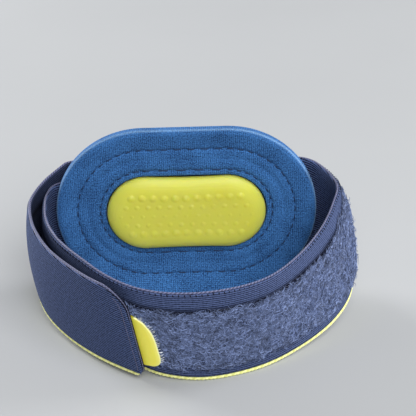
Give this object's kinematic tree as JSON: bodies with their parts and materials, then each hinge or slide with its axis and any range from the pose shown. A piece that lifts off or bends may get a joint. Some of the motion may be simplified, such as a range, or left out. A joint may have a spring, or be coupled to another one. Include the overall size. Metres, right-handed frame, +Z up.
{
  "type": "elbow brace",
  "caption": "Elbow brace: an oval knit pad with a nubbed pressure cushion, and a wide elastic band that loops through a slot behind the pad and closes on its own pile with a hook tab.",
  "frame": {"origin": "middle of the bounding box, on the surface that the brace stands on", "axes": "+X along the pad's length towards the band's sewn end, +Y from the arm opening towards the pad's back, +Z up"},
  "size_m": [0.1012, 0.0688, 0.056],
  "materials": {
    "blue_knit": "fine knit over foam",
    "yellow_silicone": "satin moulded silicone",
    "navy_elastic": "ribbed woven elastic",
    "navy_loops": "brushed loop pile",
    "yellow_yarn": "woven edge",
    "yellow_hook_plastic": "satin moulded hooks",
    "navy_plastic": "satin moulded plate"
  },
  "bodies": {
    "root": {"pad": "blue_knit", "pressure_cushion": "yellow_silicone", "band": "navy_elastic", "loop_pile": "navy_loops", "yellow_selvedge": "yellow_yarn", "hook_tab": "yellow_hook_plastic", "slot_plate": "navy_plastic"}
  },
  "joints": []
}
